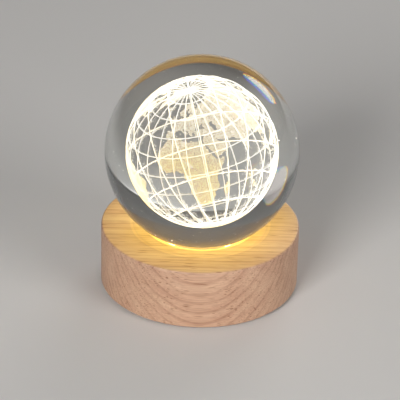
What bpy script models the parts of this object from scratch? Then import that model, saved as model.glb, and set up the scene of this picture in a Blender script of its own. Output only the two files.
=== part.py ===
"""Crystal ball lamp: a solid glass ball on a turned beech base with LEDs inside.

The ball rests in a conical seat, and lifts off by hand. The globe that is engraved in it is a
leaning core of the same glass, with raised meridians and parallels, which fills a hollow in the
ball down to its underside. Under the ball a ring of LEDs sits at the bottom of a well in the
base. The underside is closed by a moulded cover, whose upright panel fills a slot at the back
of the wood and carries the power inlet and the push switch.

Metres, +Z up. The front of the lamp faces -Y and its back +Y. The origin is on the table,
under the middle of the lamp. The grain of the wood runs along X.
"""

from math import acos, asin, cos, pi, radians, sin, sqrt, tan

import bmesh
import bpy
from mathutils import Matrix, Vector

# Sizes of the ball and of the base

ball_diameter = 0.0800
base_diameter = 0.0824
base_height = 0.0260
rim_round = 0.0008
base_bottom_chamfer = 0.0006

# Sizes of the engraved globe, and how it leans

globe_diameter = 0.0411
globe_line_width = 0.0005
globe_line_height = 0.0002
globe_stem_diameter = 0.0060
front_longitude = radians(24.2)
globe_lean_back = radians(5.9)
globe_lean_left = radians(13.0)

# Clearance between pieces that touch, and how far a cutter runs past what it cuts

gap = 0.0003
overrun = 0.0010
weld_distance = 0.000001

# Sizes inside the base

seat_mouth_diameter = 0.0448
seat_cone_width = 0.0020
led_well_depth = 0.0130

# Shares of the ring of wood between the well and the outside, from the well outwards

ledge_share = 0.22
pocket_room_share = 0.10
cover_land_share = 0.31

# Cover and feet

cover_thickness = 0.0020
cover_inset = 0.0003
lip_thickness = 0.0012
boss_height = 0.0015
boss_diameter = 0.0046
boss_inset = 0.0029
rib_thickness = 0.0010
panel_thickness = 0.0020
panel_inset = 0.0006
panel_top_margin = 0.0005
panel_side_margin = 0.0013
panel_corner_radius = 0.0025
foot_diameter = 0.0090
foot_stand = 0.0010
foot_recess_depth = 0.0006
foot_chamfer = 0.0004
foot_rim = 0.0025

# Lighting board

led_board_thickness = 0.0012
led_width = 0.0050
led_height = 0.0016
led_dish_diameter = 0.0042
led_dish_depth = 0.0003
led_corner_round = 0.0004
led_circle_diameter = 0.0250
resistor_length = 0.0020
resistor_width = 0.0013
resistor_height = 0.0006
resistor_circle_diameter = 0.0110

# Circuit board at the back, its power inlet and its switch

board_depth = 0.0162
board_thickness = 0.0010
board_corner_radius = 0.0010
board_lip = 0.0004
port_spacing = 0.0030
inlet_width = 0.0089
inlet_height = 0.0032
inlet_depth = 0.0074
inlet_wall = 0.0003
inlet_tongue_width = 0.0067
inlet_tongue_thickness = 0.0007
inlet_tongue_setback = 0.0006
inlet_block_depth = 0.0022
switch_width = 0.0070
switch_height = 0.0060
switch_depth = 0.0080
switch_wall = 0.0008
plunger_width = 0.0020
plunger_head_width = 0.0036
plunger_head_thickness = 0.0012
spring_wire = 0.0004
spring_diameter = 0.0028
button_diameter = 0.0050
button_proud = 0.0019
button_travel = 0.0015
button_edge_chamfer = 0.0004
button_flange_diameter = 0.0066
button_flange_thickness = 0.0010
button_crown = 0.0012

# Screws and wires

screw_shank_diameter = 0.0020
screw_head_diameter = 0.0040
screw_head_height = 0.0012
screw_head_edge = 0.0003
screw_cross_length = 0.0024
screw_cross_width = 0.0007
screw_cross_depth = 0.0006
screw_tip_length = 0.0010
cover_screw_length = 0.0070
led_screw_length = 0.0062
board_screw_length = 0.0038
wire_diameter = 0.0010
wire_spacing = 0.0030
wire_lead = 0.0005
wire_board_inset = 0.0016
wire_run = 0.0106

# Counts

ball_segments = 48
ball_rings = 24
globe_meridians = 24
globe_parallels = 9
base_segments = 64
arc_steps = 4
foot_segments = 24
hole_segments = 16
screw_segments = 12
led_corner_steps = 3
feet = 4
cover_screws = 4
led_screws = 3
leds = 6
resistors = 3
spring_turns = 4
spring_turn_points = 10
wire_bend_points = 5
wire_resolution = 2
spring_resolution = 1

# Levels worked out from the sizes, from the table upwards

ball_radius = ball_diameter / 2
base_radius = base_diameter / 2
base_bottom = foot_stand
base_top = base_bottom + base_height
mouth_radius = seat_mouth_diameter / 2
well_radius = mouth_radius - seat_cone_width
contact_radius = (mouth_radius + well_radius) / 2
contact_angle = asin(contact_radius / ball_radius)
seat_cone_height = seat_cone_width * tan(contact_angle)
contact_level = base_top - seat_cone_height / 2
ball_centre = contact_level + ball_radius * cos(contact_angle) + gap / cos(contact_angle)
ledge_level = base_top - led_well_depth
led_board_top = ledge_level - gap
led_board_bottom = led_board_top - led_board_thickness
cover_outside = base_bottom + cover_inset
cover_inside = cover_outside + cover_thickness
recess_level = cover_inside + gap
boss_top = cover_inside + boss_height
board_bottom = boss_top + gap
board_top = board_bottom + board_thickness
part_level = board_top + gap
button_level = part_level + switch_height / 2
inlet_level = part_level + inlet_height / 2
button_flange_radius = button_flange_diameter / 2
panel_top = button_level + button_flange_radius + panel_top_margin

# The globe and the hollow that it fills, worked out from the sizes

globe_radius = globe_diameter / 2
stem_radius = globe_stem_diameter / 2
stem_end = sqrt(ball_radius**2 - stem_radius**2)
meridian_step = 2 * pi / globe_meridians
parallel_step = pi / (globe_parallels + 1)
parallels = [step * parallel_step - pi / 2 for step in range(1, globe_parallels + 1)]
stem_latitude = -acos(stem_radius / globe_radius)
cell_radius = globe_radius - globe_line_height
cell_inset = globe_line_width / 2 / cell_radius
cell_tip_latitude = acos(globe_line_width / (cell_radius * meridian_step))
bore_radius = stem_radius + gap / cos(meridian_step / 2)
hollow_radius = globe_radius + gap / cos(meridian_step / 2) / cos(parallel_step / 2)
hollow_bottom = sqrt(hollow_radius**2 - bore_radius**2)

# Radii worked out from the sizes, from the well outwards

ring_width = base_radius - well_radius
ledge_width = ledge_share * ring_width
led_board_radius = well_radius + ledge_width
pocket_radius = led_board_radius + pocket_room_share * ring_width
recess_radius = pocket_radius + cover_land_share * ring_width
cover_radius = recess_radius - gap
lip_radius = pocket_radius - gap
cover_screw_circle = (pocket_radius + recess_radius) / 2
led_screw_circle = well_radius + ledge_width / 2
foot_radius = foot_diameter / 2
foot_circle = cover_radius - foot_rim - foot_radius
shank_radius = screw_shank_diameter / 2
head_radius = screw_head_diameter / 2

# Places across the back, and along Y from the panel inwards

board_half_width = port_spacing / 2 + inlet_width
panel_half_width = board_half_width + panel_side_margin
slot_half_width = panel_half_width + gap
inlet_x = -(port_spacing + inlet_width) / 2
button_x = (port_spacing + switch_width) / 2
panel_face = sqrt(base_radius**2 - slot_half_width**2) - panel_inset
panel_back = panel_face - panel_thickness
button_flange_face = panel_back - gap
button_flange_back = button_flange_face - button_flange_thickness
switch_face = button_flange_back - button_travel - gap
switch_back = switch_face - switch_depth
board_back_edge = switch_face + board_lip
board_front_edge = board_back_edge - board_depth
boss_x = board_half_width - boss_inset
boss_y = board_front_edge + boss_inset
wire_end_y = board_front_edge + wire_board_inset
wire_start_y = wire_end_y - wire_run


# Outlines and rings

def arc(centre, radius, start, end, steps):
    """Points on a circular arc in a plane, from angle start to angle end."""
    angles = [start + (end - start) * step / steps for step in range(steps + 1)]
    return [(centre[0] + radius * cos(a), centre[1] + radius * sin(a)) for a in angles]


def rounded_rectangle(width, height, radius, steps):
    """A rectangle about the origin with round corners, counter-clockwise."""
    inner_x = width / 2 - radius
    inner_y = height / 2 - radius
    corners = [(inner_x, inner_y), (-inner_x, inner_y), (-inner_x, -inner_y), (inner_x, -inner_y)]
    points = []
    for quarter, corner in enumerate(corners):
        points += arc(corner, radius, quarter * pi / 2, (quarter + 1) * pi / 2, steps)
    return points


def circle(radius, count):
    """Points on a circle, the first half a step from the X axis."""
    return [
        (radius * cos(2 * pi * (i + 1 / 2) / count), radius * sin(2 * pi * (i + 1 / 2) / count))
        for i in range(count)
    ]


def cross(length, width):
    """A plus shape of twelve points, on the same angles as a circle of twelve."""
    arm = length / 2
    half = width / 2
    points = []
    for quarter in range(4):
        turn = Matrix.Rotation(quarter * pi / 2, 2)
        for corner in [(arm, half), (half, half), (half, arm)]:
            x, y = turn @ Vector(corner)
            points.append((x, y))
    return points


def on_circle(radius, count, start):
    """Places spaced evenly on a circle, each with its angle."""
    angles = [start + 2 * pi * i / count for i in range(count)]
    return [(radius * cos(a), radius * sin(a), a) for a in angles]


# Solids

def add_object(name, data):
    """Put data into the scene under a name."""
    piece = bpy.data.objects.new(name, data)
    bpy.context.scene.collection.objects.link(piece)
    return piece


def finish_mesh(name, shape):
    """Close the seams of a bmesh, turn its faces outwards and make it an object."""
    bmesh.ops.remove_doubles(shape, verts=shape.verts, dist=weld_distance)
    bmesh.ops.recalc_face_normals(shape, faces=shape.faces)
    mesh = bpy.data.meshes.new(name)
    shape.to_mesh(mesh)
    shape.free()
    return add_object(name, mesh)


def turned(name, profile, segments, ring=False):
    """Spin a profile of (radius, height) points round Z; a ring's profile closes on itself."""
    shape = bmesh.new()
    points = [shape.verts.new((radius, 0, height)) for radius, height in profile]
    edges = [shape.edges.new(pair) for pair in zip(points, points[1:])]
    if ring:
        edges.append(shape.edges.new((points[-1], points[0])))
    bmesh.ops.spin(
        shape, geom=points + edges, cent=(0, 0, 0), axis=(0, 0, 1), angle=2 * pi,
        steps=segments, use_merge=True,
    )
    return finish_mesh(name, shape)


def extruded(name, outline, low, high, upright=False):
    """Extrude an outline in XY along Z, or with upright an outline in XZ along Y."""
    shape = bmesh.new()
    depth = high - low
    if upright:
        corners = [shape.verts.new((u, low, v)) for u, v in outline]
        way = Vector((0, depth, 0))
    else:
        corners = [shape.verts.new((u, v, low)) for u, v in outline]
        way = Vector((0, 0, depth))
    face = shape.faces.new(corners)
    grown = bmesh.ops.extrude_face_region(shape, geom=[face])["geom"]
    moved = [item for item in grown if isinstance(item, bmesh.types.BMVert)]
    bmesh.ops.translate(shape, verts=moved, vec=way)
    return finish_mesh(name, shape)


def lofted(name, sections):
    """Join sections of equal counts, each (outline, height), and cap the two ends."""
    shape = bmesh.new()
    rings = [[shape.verts.new((u, v, height)) for u, v in outline] for outline, height in sections]
    count = len(rings[0])
    for lower, upper in zip(rings, rings[1:]):
        for i in range(count):
            j = (i + 1) % count
            shape.faces.new((lower[i], lower[j], upper[j], upper[i]))
    shape.faces.new(rings[0])
    shape.faces.new(rings[-1])
    bmesh.ops.recalc_face_normals(shape, faces=shape.faces)
    mesh = bpy.data.meshes.new(name)
    shape.to_mesh(mesh)
    shape.free()
    return add_object(name, mesh)


def tube(name, path, diameter, resolution):
    """A wire: a round bevel along a run of points, with its ends capped."""
    curve = bpy.data.curves.new(name, "CURVE")
    curve.dimensions = "3D"
    curve.bevel_depth = diameter / 2
    curve.bevel_resolution = resolution
    curve.use_fill_caps = True
    spline = curve.splines.new("POLY")
    spline.points.add(len(path) - 1)
    for point, place in zip(spline.points, path):
        point.co = (*place, 1)
    return add_object(name, curve)


def boolean(piece, tool, operation):
    """Join a tool to a piece or cut it away, and hide the tool."""
    change = piece.modifiers.new(operation.title(), "BOOLEAN")
    change.operation = operation
    change.solver = "EXACT"
    change.object = tool
    tool.hide_render = True
    tool.display_type = "WIRE"


def cut(piece, tool):
    boolean(piece, tool, "DIFFERENCE")


def join(piece, tool):
    boolean(piece, tool, "UNION")


def facing_back(piece, x, y, z):
    """Turn a piece made along Z so that it points to the back, with its origin at a place."""
    piece.rotation_euler = (-pi / 2, 0, 0)
    piece.location = (x, y, z)
    return piece


def copies(piece, names_and_places):
    """Place copies that share a piece's mesh, each (name, location, turn round X, turn round Z)."""
    made = []
    for name, location, tip, turn in names_and_places:
        copy = add_object(name, piece.data)
        copy.location = location
        copy.rotation_euler = (tip, 0, turn)
        made.append(copy)
    bpy.data.objects.remove(piece)
    return made


# Materials

def principled(name, colour, roughness, metallic=0, transmission=0, glow=0):
    """A Principled BSDF with a piece's colour and finish."""
    material = bpy.data.materials.new(name)
    material.use_nodes = True
    shader = material.node_tree.nodes["Principled BSDF"]
    shader.inputs["Base Color"].default_value = (*colour, 1)
    shader.inputs["Roughness"].default_value = roughness
    shader.inputs["Metallic"].default_value = metallic
    shader.inputs["Transmission Weight"].default_value = transmission
    shader.inputs["Emission Color"].default_value = (*colour, 1)
    shader.inputs["Emission Strength"].default_value = glow
    return material


def coat(pieces, material):
    """Give pieces a material, and shade them smooth except at their edges."""
    for piece in pieces:
        piece.data.materials.clear()
        piece.data.materials.append(material)
        if piece.type == "MESH":
            piece.data.shade_smooth()
            piece.data.set_sharp_from_angle(angle=pi / 6)


# Pieces

def lean(piece):
    """Place a piece made round the globe's own axis in the ball, with that axis leaning."""
    front = Vector((0, -1, 0))
    flat = cos(globe_lean_left)
    north = Vector((-sin(globe_lean_left), sin(globe_lean_back) * flat, cos(globe_lean_back) * flat))
    facing = (front - north * north.dot(front)).normalized()
    east = north.cross(facing)
    axes = Matrix((facing, east, north)).transposed() @ Matrix.Rotation(-front_longitude, 3, "Z")
    piece.matrix_world = Matrix.Translation((0, 0, ball_centre)) @ axes.to_4x4()


def make_ball():
    """The crystal ball, sitting on the cone of the seat, with the hollow and bore for the globe."""
    shape = bmesh.new()
    bmesh.ops.create_uvsphere(
        shape, u_segments=ball_segments, v_segments=ball_rings, radius=ball_radius
    )
    ball = finish_mesh("crystal_ball", shape)
    ball.location = (0, 0, ball_centre)
    below = -(ball_radius + overrun)
    corners = [(hollow_radius * cos(a), hollow_radius * sin(a)) for a in reversed(parallels)]
    bore = [(bore_radius, -hollow_bottom), (bore_radius, below), (0, below)]
    hollow = turned("globe_hollow", [(0, hollow_radius), *corners, *bore], globe_meridians)
    lean(hollow)
    cut(ball, hollow)
    coat([ball], principled("lead crystal", (0.96, 0.97, 0.96), 0.0, transmission=1))
    return ball


def on_globe(longitude, latitude, radius):
    """A point at a longitude and a latitude, round the globe's own axis."""
    flat = radius * cos(latitude)
    return (flat * cos(longitude), flat * sin(longitude), radius * sin(latitude))


def cell_edge(middle, latitude):
    """The west and east ends of a cell's edge, half a line in from the meridians beside it."""
    reach = meridian_step / 2 - globe_line_width / 2 / (cell_radius * cos(latitude))
    return [on_globe(middle + way * reach, latitude, cell_radius) for way in (-1, 1)]


def sunk_cell(shape, rim, places):
    """A flat cell with its corners at the places, and the slopes that rise from it to its rim."""
    inner = [shape.verts.new(place) for place in places]
    for i in range(len(rim)):
        j = (i + 1) % len(rim)
        shape.faces.new((rim[i], rim[j], inner[j], inner[i]))
    shape.faces.new(inner)


def make_globe():
    """The engraved globe: a glass core whose lines stand up between flat cells, on a stem."""
    shape = bmesh.new()
    levels = [stem_latitude, *parallels]
    places = on_circle(stem_radius, globe_meridians, 0)
    foot = [shape.verts.new((x, y, -stem_end)) for x, y, longitude in places]
    rims = [
        [shape.verts.new(on_globe(longitude, level, globe_radius)) for x, y, longitude in places]
        for level in levels
    ]
    pole = shape.verts.new(on_globe(0, pi / 2, globe_radius))
    shape.faces.new(foot)
    for i in range(globe_meridians):
        j = (i + 1) % globe_meridians
        middle = (i + 1 / 2) * meridian_step
        shape.faces.new((foot[i], foot[j], rims[0][j], rims[0][i]))
        for row in range(globe_parallels):
            rim = (rims[row][i], rims[row][j], rims[row + 1][j], rims[row + 1][i])
            south = cell_edge(middle, levels[row] + cell_inset)
            north = cell_edge(middle, levels[row + 1] - cell_inset)
            sunk_cell(shape, rim, [*south, *reversed(north)])
        last_edge = cell_edge(middle, levels[-1] + cell_inset)
        tip = on_globe(middle, cell_tip_latitude, cell_radius)
        sunk_cell(shape, (rims[-1][i], rims[-1][j], pole), [*last_edge, tip])
    globe = finish_mesh("engraved_globe", shape)
    lean(globe)
    coat([globe], principled("engraved crystal", (1.0, 0.91, 0.68), 0.4, transmission=0.5, glow=0.6))
    return globe


def make_base():
    """The turned base: seat, LED well, pocket and cover recess, with a slot at the back."""
    rim_centre = (base_radius - rim_round, base_top - rim_round)
    rim = arc(rim_centre, rim_round, pi / 2, 0, arc_steps)
    profile = [
        (mouth_radius, base_top),
        *rim,
        (base_radius, base_bottom + base_bottom_chamfer),
        (base_radius - base_bottom_chamfer, base_bottom),
        (recess_radius, base_bottom),
        (recess_radius, recess_level),
        (pocket_radius, recess_level),
        (pocket_radius, ledge_level),
        (well_radius, ledge_level),
        (well_radius, base_top - seat_cone_height),
    ]
    base = turned("wooden_base", profile, base_segments, ring=True)

    slot_corner = panel_corner_radius + gap
    slot_side = slot_half_width - slot_corner
    slot_top = panel_top + gap
    slot = [
        (-slot_half_width, base_bottom - overrun),
        (slot_half_width, base_bottom - overrun),
        *arc((slot_side, slot_top - slot_corner), slot_corner, 0, pi / 2, arc_steps),
        *arc((-slot_side, slot_top - slot_corner), slot_corner, pi / 2, pi, arc_steps),
    ]
    slot_start = sqrt(pocket_radius**2 - slot_half_width**2) - overrun
    cut(base, extruded("slot_cutter", slot, slot_start, base_radius + overrun, upright=True))

    bore = shank_radius + gap
    cover_bore_end = cover_outside + cover_screw_length + gap
    for number, (x, y, _) in enumerate(on_circle(cover_screw_circle, cover_screws, pi / 4), 1):
        drill = extruded(
            f"cover_drill_{number}", circle(bore, hole_segments), recess_level - overrun, cover_bore_end
        )
        drill.location = (x, y, 0)
        cut(base, drill)
    led_bore_end = led_board_bottom - gap + led_screw_length + gap
    for number, (x, y, _) in enumerate(on_circle(led_screw_circle, led_screws, pi / 6), 1):
        drill = extruded(
            f"ledge_drill_{number}", circle(bore, hole_segments), ledge_level - overrun, led_bore_end
        )
        drill.location = (x, y, 0)
        cut(base, drill)
    coat([base], principled("turned beech", (0.42, 0.25, 0.12), 0.5))
    return base


def make_cover():
    """The moulded cover: plate, upright back panel, locating lip, bosses and board rest."""
    tongue_root = sqrt(cover_radius**2 - panel_half_width**2)
    half_opening = asin(panel_half_width / cover_radius)
    plate = [
        (panel_half_width, panel_face),
        (-panel_half_width, panel_face),
        (-panel_half_width, tongue_root),
        *arc(
            (0, 0), cover_radius, pi / 2 + half_opening, pi * 5 / 2 - half_opening, base_segments
        )[1:],
    ]
    cover = extruded("bottom_cover", plate, cover_outside, cover_inside)

    panel_side = panel_half_width - panel_corner_radius
    corner_level = panel_top - panel_corner_radius
    panel = [
        (-panel_half_width, cover_outside),
        (panel_half_width, cover_outside),
        *arc((panel_side, corner_level), panel_corner_radius, 0, pi / 2, arc_steps),
        *arc((-panel_side, corner_level), panel_corner_radius, pi / 2, pi, arc_steps),
    ]
    join(cover, extruded("panel_blank", panel, panel_back, panel_face, upright=True))

    root = cover_inside - cover_thickness / 2
    lip_profile = [
        (lip_radius, boss_top), (lip_radius, root),
        (lip_radius - lip_thickness, root), (lip_radius - lip_thickness, boss_top),
    ]
    join(cover, turned("lip_blank", lip_profile, base_segments, ring=True))
    rib = rounded_rectangle(board_half_width, rib_thickness, rib_thickness / 4, 1)
    rest = extruded("rib_blank", rib, root, boss_top)
    rest.location = (0, board_back_edge - rib_thickness, 0)
    join(cover, rest)

    bore = shank_radius + gap
    bore_end = board_top + gap - board_screw_length - gap
    for number, x in enumerate((-boss_x, boss_x), 1):
        boss = extruded(f"boss_blank_{number}", circle(boss_diameter / 2, hole_segments), root, boss_top)
        boss.location = (x, boss_y, 0)
        join(cover, boss)
        drill = extruded(f"boss_drill_{number}", circle(bore, hole_segments), bore_end, boss_top + overrun)
        drill.location = (x, boss_y, 0)
        cut(cover, drill)

    recess = circle(foot_radius + gap, foot_segments)
    foot_seat = cover_outside + foot_recess_depth
    for number, (x, y, _) in enumerate(on_circle(foot_circle, feet, 0), 1):
        tool = extruded(f"foot_cutter_{number}", recess, cover_outside - overrun, foot_seat)
        tool.location = (x, y, 0)
        cut(cover, tool)

    countersink = [
        (circle(head_radius + gap, hole_segments), cover_outside - overrun),
        (circle(head_radius + gap, hole_segments), cover_outside + screw_head_edge),
        (circle(bore, hole_segments), cover_outside + screw_head_height),
        (circle(bore, hole_segments), cover_inside + overrun),
    ]
    for number, (x, y, _) in enumerate(on_circle(cover_screw_circle, cover_screws, pi / 4), 1):
        tool = lofted(f"countersink_{number}", countersink)
        tool.location = (x, y, 0)
        cut(cover, tool)

    mouth_height = inlet_height + 2 * gap
    mouth = rounded_rectangle(inlet_width + 2 * gap, mouth_height, mouth_height / 2, arc_steps)
    mouth_cutter = extruded(
        "mouth_cutter", mouth, panel_back - overrun, panel_face + overrun, upright=True
    )
    mouth_cutter.location = (inlet_x, 0, inlet_level)
    cut(cover, mouth_cutter)
    button_hole = extruded(
        "button_cutter", circle(button_diameter / 2 + gap, foot_segments),
        panel_back - overrun, panel_face + overrun, upright=True,
    )
    button_hole.location = (button_x, 0, button_level)
    cut(cover, button_hole)
    coat([cover], principled("moulded ABS", (0.02, 0.02, 0.022), 0.55))
    return cover


def make_feet():
    """Four rubber feet in shallow recesses of the cover."""
    top = cover_outside + foot_recess_depth - gap
    profile = [(0, top), (foot_radius, top), (foot_radius, foot_chamfer), (foot_radius - foot_chamfer, 0), (0, 0)]
    foot = turned("foot", profile, foot_segments)
    coat([foot], principled("black rubber", (0.03, 0.03, 0.03), 0.8))
    places = on_circle(foot_circle, feet, 0)
    return copies(foot, [(f"foot_{i}", (x, y, 0), 0, 0) for i, (x, y, _) in enumerate(places, 1)])


def screw_blank(length, countersunk):
    """A screw with its head's top at the origin and its shank along -Z, with a cross recess."""
    shank = circle(shank_radius, screw_segments)
    head = circle(head_radius, screw_segments)
    crown = circle(head_radius - screw_head_edge / 2, screw_segments)
    slot = cross(screw_cross_length, screw_cross_width)
    sections = [
        (circle(shank_radius / 2, screw_segments), -length),
        (shank, screw_tip_length - length),
        (shank, -screw_head_height),
    ]
    if not countersunk:
        sections.append((head, -screw_head_height))
    sections += [(head, -screw_head_edge), (crown, 0), (slot, 0), (slot, -screw_cross_depth)]
    return lofted("screw", sections)


def make_screws():
    """Four screws through the cover, three in the LED board and two in the small board."""
    steel = principled("zinc plated steel", (0.6, 0.6, 0.58), 0.35, metallic=1)
    cover_screw = screw_blank(cover_screw_length, countersunk=True)
    coat([cover_screw], steel)
    places = on_circle(cover_screw_circle, cover_screws, pi / 4)
    made = copies(cover_screw, [
        (f"cover_screw_{i}", (x, y, cover_outside), pi, turn) for i, (x, y, turn) in enumerate(places, 1)
    ])
    led_screw = screw_blank(led_screw_length + screw_head_height, countersunk=False)
    coat([led_screw], steel)
    head_top = led_board_bottom - gap - screw_head_height
    places = on_circle(led_screw_circle, led_screws, pi / 6)
    made += copies(led_screw, [
        (f"led_board_screw_{i}", (x, y, head_top), pi, turn) for i, (x, y, turn) in enumerate(places, 1)
    ])
    board_screw = screw_blank(board_screw_length + screw_head_height, countersunk=False)
    coat([board_screw], steel)
    head_top = board_top + gap + screw_head_height
    made += copies(board_screw, [
        (f"power_board_screw_{i}", (x, boss_y, head_top), 0, 0) for i, x in enumerate((-boss_x, boss_x), 1)
    ])
    return made


def make_led_board():
    """The round white board under the ledge, with its LEDs and resistors."""
    outline = circle(led_board_radius, base_segments)
    board = extruded("led_board", outline, led_board_bottom, led_board_top)
    hole = circle(shank_radius + gap, hole_segments)
    for number, (x, y, _) in enumerate(on_circle(led_screw_circle, led_screws, pi / 6), 1):
        drill = extruded(f"led_drill_{number}", hole, led_board_bottom - overrun, led_board_top + overrun)
        drill.location = (x, y, 0)
        cut(board, drill)
    coat([board], principled("white solder mask", (0.8, 0.8, 0.78), 0.4))

    body = rounded_rectangle(led_width, led_width, led_corner_round, led_corner_steps)
    dish = circle(led_dish_diameter / 2, len(body))
    led = lofted("led", [
        (body, 0), (body, led_height), (dish, led_height), (dish, led_height - led_dish_depth),
    ])
    coat([led], principled("warm white LED", (1.0, 0.78, 0.45), 0.4, glow=4))
    seat = led_board_top + gap
    made = [board] + copies(led, [
        (f"led_{i}", (x, y, seat), 0, turn)
        for i, (x, y, turn) in enumerate(on_circle(led_circle_diameter / 2, leds, 0), 1)
    ])
    chip = extruded(
        "chip", rounded_rectangle(resistor_length, resistor_width, resistor_width / 8, 1), 0, resistor_height
    )
    coat([chip], principled("thick film resistor", (0.04, 0.04, 0.045), 0.5))
    made += copies(chip, [
        (f"led_resistor_{i}", (x, y, seat), 0, turn)
        for i, (x, y, turn) in enumerate(on_circle(resistor_circle_diameter / 2, resistors, pi / 6), 1)
    ])
    return made


def make_power_board():
    """The small circuit board on its bosses behind the panel."""
    outline = rounded_rectangle(2 * board_half_width, board_depth, board_corner_radius, arc_steps)
    board = extruded("power_board", outline, board_bottom, board_top)
    board.location = (0, board_front_edge + board_depth / 2, 0)
    hole = circle(shank_radius + gap, hole_segments)
    for number, x in enumerate((-boss_x, boss_x), 1):
        drill = extruded(f"board_drill_{number}", hole, board_bottom - overrun, board_top + overrun)
        drill.location = (x, boss_y, 0)
        cut(board, drill)
    coat([board], principled("green solder mask", (0.02, 0.12, 0.05), 0.4))
    return board


def make_inlet():
    """The power inlet: an oval steel shell, and the moulded block and tongue inside it."""
    outline = rounded_rectangle(inlet_width, inlet_height, inlet_height / 2, arc_steps)
    bore_width = inlet_width - 2 * inlet_wall
    bore_height = inlet_height - 2 * inlet_wall
    bore = rounded_rectangle(bore_width, bore_height, bore_height / 2, arc_steps)
    shell = extruded("inlet_shell", outline, -inlet_depth, 0)
    facing_back(shell, inlet_x, panel_face, inlet_level)
    bore_cutter = extruded("bore_cutter", bore, -inlet_depth - overrun, overrun)
    facing_back(bore_cutter, inlet_x, panel_face, inlet_level)
    cut(shell, bore_cutter)
    coat([shell], principled("nickel plated steel", (0.65, 0.65, 0.64), 0.3, metallic=1))

    block_height = bore_height - 2 * gap
    block = rounded_rectangle(bore_width - 2 * gap, block_height, block_height / 2, arc_steps)
    tongue = rounded_rectangle(
        inlet_tongue_width, inlet_tongue_thickness, inlet_tongue_thickness / 4, arc_steps
    )
    block_face = inlet_block_depth - inlet_depth
    core = lofted("inlet_tongue", [
        (block, -inlet_depth), (block, block_face), (tongue, block_face), (tongue, -inlet_tongue_setback),
    ])
    facing_back(core, inlet_x, panel_face, inlet_level)
    coat([core], principled("black nylon", (0.015, 0.015, 0.015), 0.5))
    return [shell, core]


def make_switch():
    """The push switch: housing, plunger, return spring, and the cap that shows at the back."""
    body = rounded_rectangle(switch_width, switch_height, switch_wall / 2, 1)
    housing = extruded("switch_housing", body, -switch_depth, 0)
    facing_back(housing, button_x, switch_face, button_level)
    cavity_width = plunger_head_width + 2 * gap
    cavity = rounded_rectangle(cavity_width, cavity_width, gap, 1)
    cavity_cutter = extruded("cavity_cutter", cavity, switch_wall - switch_depth, -switch_wall)
    facing_back(cavity_cutter, button_x, switch_face, button_level)
    cut(housing, cavity_cutter)
    window_width = plunger_width + 2 * gap
    window = rounded_rectangle(window_width, window_width, gap, 1)
    window_cutter = extruded("window_cutter", window, -switch_wall - overrun, overrun)
    facing_back(window_cutter, button_x, switch_face, button_level)
    cut(housing, window_cutter)
    coat([housing], principled("black PBT", (0.02, 0.02, 0.02), 0.45))

    head_face = switch_face - switch_wall - gap
    head_back = head_face - plunger_head_thickness
    cap_face = panel_face + button_proud
    stem_end = cap_face - button_crown - gap
    stem = rounded_rectangle(plunger_width, plunger_width, gap, 1)
    head = rounded_rectangle(plunger_head_width, plunger_head_width, gap, 1)
    plunger = lofted("switch_plunger", [
        (head, 0), (head, head_face - head_back), (stem, head_face - head_back), (stem, stem_end - head_back),
    ])
    facing_back(plunger, button_x, head_back, button_level)
    coat([plunger], principled("white acetal", (0.75, 0.75, 0.73), 0.4))

    coil_radius = (spring_diameter - spring_wire) / 2
    coil_start = switch_back + switch_wall + gap + spring_wire / 2
    coil_end = head_back - gap - spring_wire / 2
    count = spring_turns * spring_turn_points
    path = []
    for i in range(count + 1):
        turn = 2 * pi * spring_turns * i / count
        reach = coil_start + (coil_end - coil_start) * i / count
        path.append((button_x + coil_radius * cos(turn), reach, button_level + coil_radius * sin(turn)))
    spring = tube("switch_spring", path, spring_wire, spring_resolution)
    coat([spring], principled("spring steel", (0.55, 0.55, 0.55), 0.3, metallic=1))

    button_radius = button_diameter / 2
    flange = button_flange_thickness
    reach = cap_face - button_flange_back
    profile = [
        (0, reach),
        (button_radius - button_edge_chamfer, reach),
        (button_radius, reach - button_edge_chamfer),
        (button_radius, flange),
        (button_flange_radius, flange),
        (button_flange_radius, 0),
        (0, 0),
    ]
    cap = turned("button_cap", profile, foot_segments)
    facing_back(cap, button_x, button_flange_back, button_level)
    socket_cutter = extruded("socket_cutter", window, -overrun, reach - button_crown)
    facing_back(socket_cutter, button_x, button_flange_back, button_level)
    cut(cap, socket_cutter)
    coat([cap], principled("black ABS button", (0.03, 0.03, 0.032), 0.4))
    return [housing, plunger, spring, cap]


def make_wires():
    """Two wires from the LED board down to the power board, each with two even bends."""
    top = led_board_bottom - gap
    bottom = board_top + gap
    bend = (top - bottom) / 2 - wire_lead
    made = []
    for name, side, colour in (("wire_red", -1, (0.5, 0.02, 0.02)), ("wire_black", 1, (0.02, 0.02, 0.02))):
        x = side * wire_spacing / 2
        first = arc((wire_start_y + bend, top - wire_lead), bend, pi, pi * 3 / 2, wire_bend_points)
        second = arc((wire_end_y - bend, bottom + wire_lead), bend, pi / 2, 0, wire_bend_points)
        route = [(wire_start_y, top), *first, *second, (wire_end_y, bottom)]
        wire = tube(name, [(x, y, z) for y, z in route], wire_diameter, wire_resolution)
        coat([wire], principled(f"{name} insulation", colour, 0.45))
        made.append(wire)
    return made


def build():
    """Clear the scene and make every piece."""
    for piece in list(bpy.data.objects):
        bpy.data.objects.remove(piece)
    make_ball()
    make_globe()
    make_base()
    make_cover()
    make_feet()
    make_screws()
    make_led_board()
    make_power_board()
    make_inlet()
    make_switch()
    make_wires()
    bpy.context.view_layer.update()


build()
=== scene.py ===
"""Crystal ball lamp: the finished look of a solid glass ball on a lit, turned beech base.

The glass ball, the globe engraved in it, the turned base, the coil in the switch and the button
are made here. The cover, feet, screws, boards, wires, inlet and the rest of the switch keep the
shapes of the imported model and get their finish. Metres, +Z up, front towards -Y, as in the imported
model.
"""

from functools import partial
from math import asin, atan2, cos, pi, radians, sin, sqrt, tan

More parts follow.
